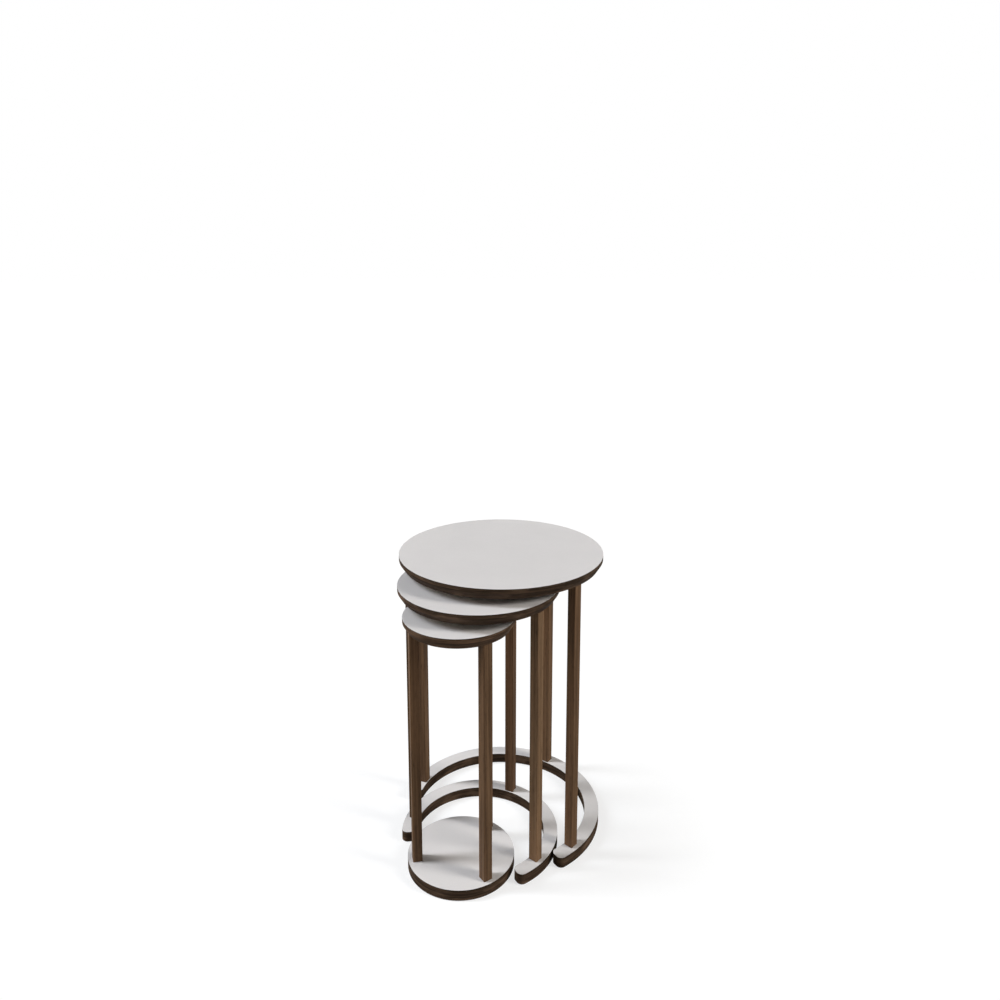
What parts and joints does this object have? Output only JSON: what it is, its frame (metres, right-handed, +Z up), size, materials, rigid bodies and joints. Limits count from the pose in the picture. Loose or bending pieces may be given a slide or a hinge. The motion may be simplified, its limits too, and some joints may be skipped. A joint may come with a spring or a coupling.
{
  "type": "nesting tables",
  "caption": "Nest of round side tables with pale laminate tops, slim square walnut legs and C-shaped bases that slide in under one another.",
  "frame": {"origin": "middle of the floor rectangle that the three staggered tables cover, on the floor", "axes": "+Z up; the large table's opening faces -Y and the smaller tables pull out that way; +X to the right of someone who looks along +Y at the opening"},
  "size_m": [0.362, 0.4196, 0.514],
  "materials": {
    "grey_laminate": "smooth satin high-pressure laminate, light warm grey",
    "dark_walnut_core": "dark walnut-stained board edge, satin lacquer",
    "walnut_leg": "straight-grained walnut, satin lacquer",
    "zinc_steel": "zinc-plated steel",
    "beech": "plain turned dowel",
    "felt": "dark grey wool felt"
  },
  "bodies": {
    "large_table": {"large_top_core": "dark_walnut_core", "large_top_laminate": "grey_laminate", "large_base_core": "dark_walnut_core", "large_base_laminate": "grey_laminate", "large_back_leg": "walnut_leg", "large_left_leg": "walnut_leg", "large_right_leg": "walnut_leg", "large_top_inserts": "zinc_steel", "large_hanger_bolts": "zinc_steel", "large_base_screws": "zinc_steel", "large_dowel_pins": "beech", "large_felt_pads": "felt"},
    "medium_table": {"medium_top_core": "dark_walnut_core", "medium_top_laminate": "grey_laminate", "medium_base_core": "dark_walnut_core", "medium_base_laminate": "grey_laminate", "medium_back_leg": "walnut_leg", "medium_left_leg": "walnut_leg", "medium_right_leg": "walnut_leg", "medium_top_inserts": "zinc_steel", "medium_hanger_bolts": "zinc_steel", "medium_base_screws": "zinc_steel", "medium_dowel_pins": "beech", "medium_felt_pads": "felt"},
    "small_table": {"small_top_core": "dark_walnut_core", "small_top_laminate": "grey_laminate", "small_base_core": "dark_walnut_core", "small_base_laminate": "grey_laminate", "small_back_leg": "walnut_leg", "small_left_leg": "walnut_leg", "small_right_leg": "walnut_leg", "small_top_inserts": "zinc_steel", "small_hanger_bolts": "zinc_steel", "small_base_screws": "zinc_steel", "small_dowel_pins": "beech", "small_felt_pads": "felt"}
  },
  "joints": [
    {"name": "medium_pull", "type": "slide", "parent": "large_table", "child": "medium_table", "axis": [0.0941, -0.9956, 0], "range_m": [-0.0791, 0.241]},
    {"name": "small_pull", "type": "slide", "parent": "medium_table", "child": "small_table", "axis": [0.1271, -0.9919, 0], "range_m": [-0.0679, 0.165]}
  ]
}
